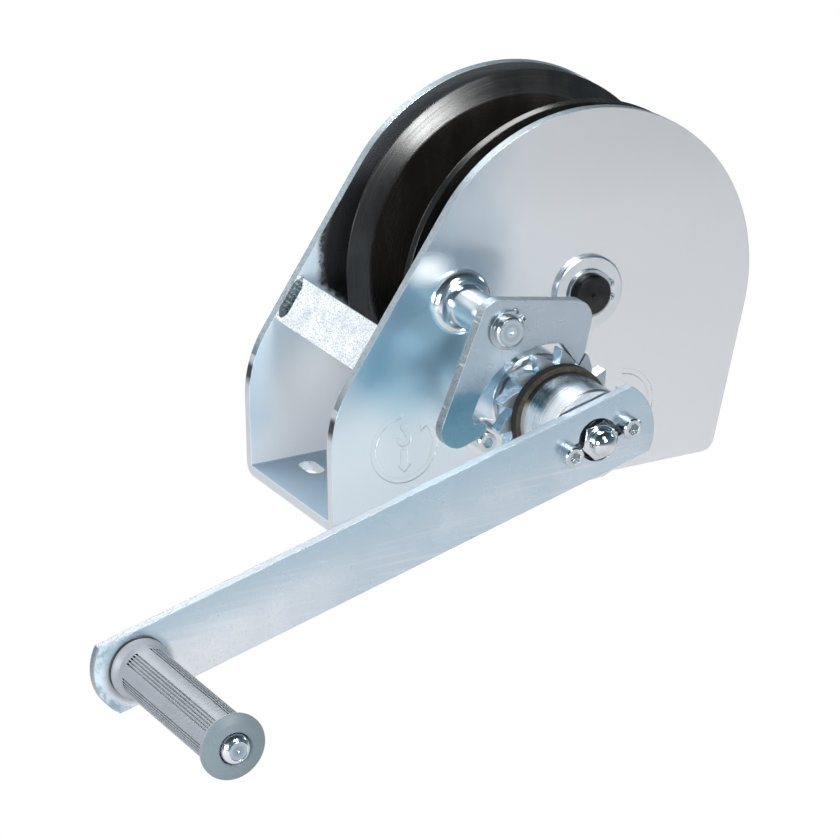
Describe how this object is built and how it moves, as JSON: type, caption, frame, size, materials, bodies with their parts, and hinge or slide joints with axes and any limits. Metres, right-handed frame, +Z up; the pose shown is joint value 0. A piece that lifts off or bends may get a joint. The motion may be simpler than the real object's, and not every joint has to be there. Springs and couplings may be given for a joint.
{
  "type": "wire rope winch",
  "caption": "Hand-cranked wire rope winch with a bent plate frame, flanged drum, spur gear, load brake with ratchet and pawl, and a long crank with a revolving grip.",
  "frame": {"origin": "middle of the flat base's underside, between its slotted holes", "axes": "+X along the base towards the drum head, +Y away from the crank, +Z up from the base"},
  "size_m": [0.3926, 0.2893, 0.2142],
  "materials": {
    "zinc_frame": "zinc plated, soft mirror",
    "raw_zinc": "rough bright zinc",
    "zinc_plate": "zinc plated, satin",
    "zinc_bright": "bright zinc",
    "black_steel": "blackened steel",
    "drum_black": "satin black coating",
    "bronze": "sintered bronze",
    "gear_steel": "oiled machined steel",
    "polished_steel": "turned and polished",
    "ratchet_steel": "zinc plated, grained face",
    "friction_lining": "worn brake lining",
    "chrome_nut": "polished chrome",
    "dark_plastic": "dark moulded plastic",
    "grip_plastic": "grey moulded plastic, fine grooves"
  },
  "bodies": {
    "frame": {"frame": "zinc_frame", "tie_plate": "raw_zinc", "drum_axle": "black_steel", "axle_washers": "zinc_bright", "axle_circlips": "zinc_bright", "bearing_housing": "polished_steel", "housing_screws": "zinc_bright", "shaft_bush": "bronze", "pawl_post": "zinc_bright", "pawl_circlip": "zinc_bright"},
    "drum": {"drum_barrel": "drum_black", "drum_hub_tube": "drum_black", "near_flange": "drum_black", "far_flange": "drum_black", "drum_bushes": "bronze", "drum_gear": "gear_steel", "gear_rivets": "gear_steel", "rope_clamp": "zinc_bright", "rope_clamp_screws": "zinc_bright"},
    "drive": {"drive_shaft": "gear_steel", "brake_flange": "polished_steel", "brake_flange_key": "gear_steel", "nut_washer": "zinc_bright", "dome_nut": "chrome_nut"},
    "ratchet": {"ratchet_wheel": "ratchet_steel", "ratchet_bush": "bronze", "rear_friction_disc": "friction_lining", "front_friction_disc": "friction_lining"},
    "pawl": {"pawl": "zinc_plate"},
    "crank": {"crank_hub": "polished_steel", "crank_arm": "zinc_plate", "crank_screws": "zinc_bright", "grip_pin": "zinc_bright", "grip_washer": "dark_plastic"},
    "grip": {"grip_sleeve": "grip_plastic"}
  },
  "joints": [
    {"name": "drum_spin", "type": "hinge", "parent": "frame", "child": "drum", "pos_m": [0.0653, 0, 0.0977], "axis": [0, 1, 0], "continuous": true},
    {"name": "drive_spin", "type": "hinge", "parent": "frame", "child": "drive", "pos_m": [0.02268, -0.06, 0.05837], "axis": [0, 1, 0], "continuous": true},
    {"name": "crank_release", "type": "hinge", "parent": "drive", "child": "crank", "pos_m": [0.02268, -0.1, 0.05837], "axis": [0, 1, 0], "range_deg": [-20, 0]},
    {"name": "grip_spin", "type": "hinge", "parent": "crank", "child": "grip", "pos_m": [-0.21408, -0.18, -0.00463], "axis": [0, 1, 0], "continuous": true},
    {"name": "ratchet_turn", "type": "hinge", "parent": "frame", "child": "ratchet", "pos_m": [0.02268, -0.09, 0.05837], "axis": [0, 1, 0], "range_deg": [0, 20]},
    {"name": "pawl_rock", "type": "hinge", "parent": "frame", "child": "pawl", "pos_m": [-0.00363, -0.09, 0.10507], "axis": [0, 1, 0], "range_deg": [-8.4, 0]}
  ],
  "couplings": [
    {"joint": "drive_spin", "follows": "drum_spin", "ratio": -4.8},
    {"joint": "pawl_rock", "follows": "ratchet_turn", "ratio": -0.42}
  ]
}
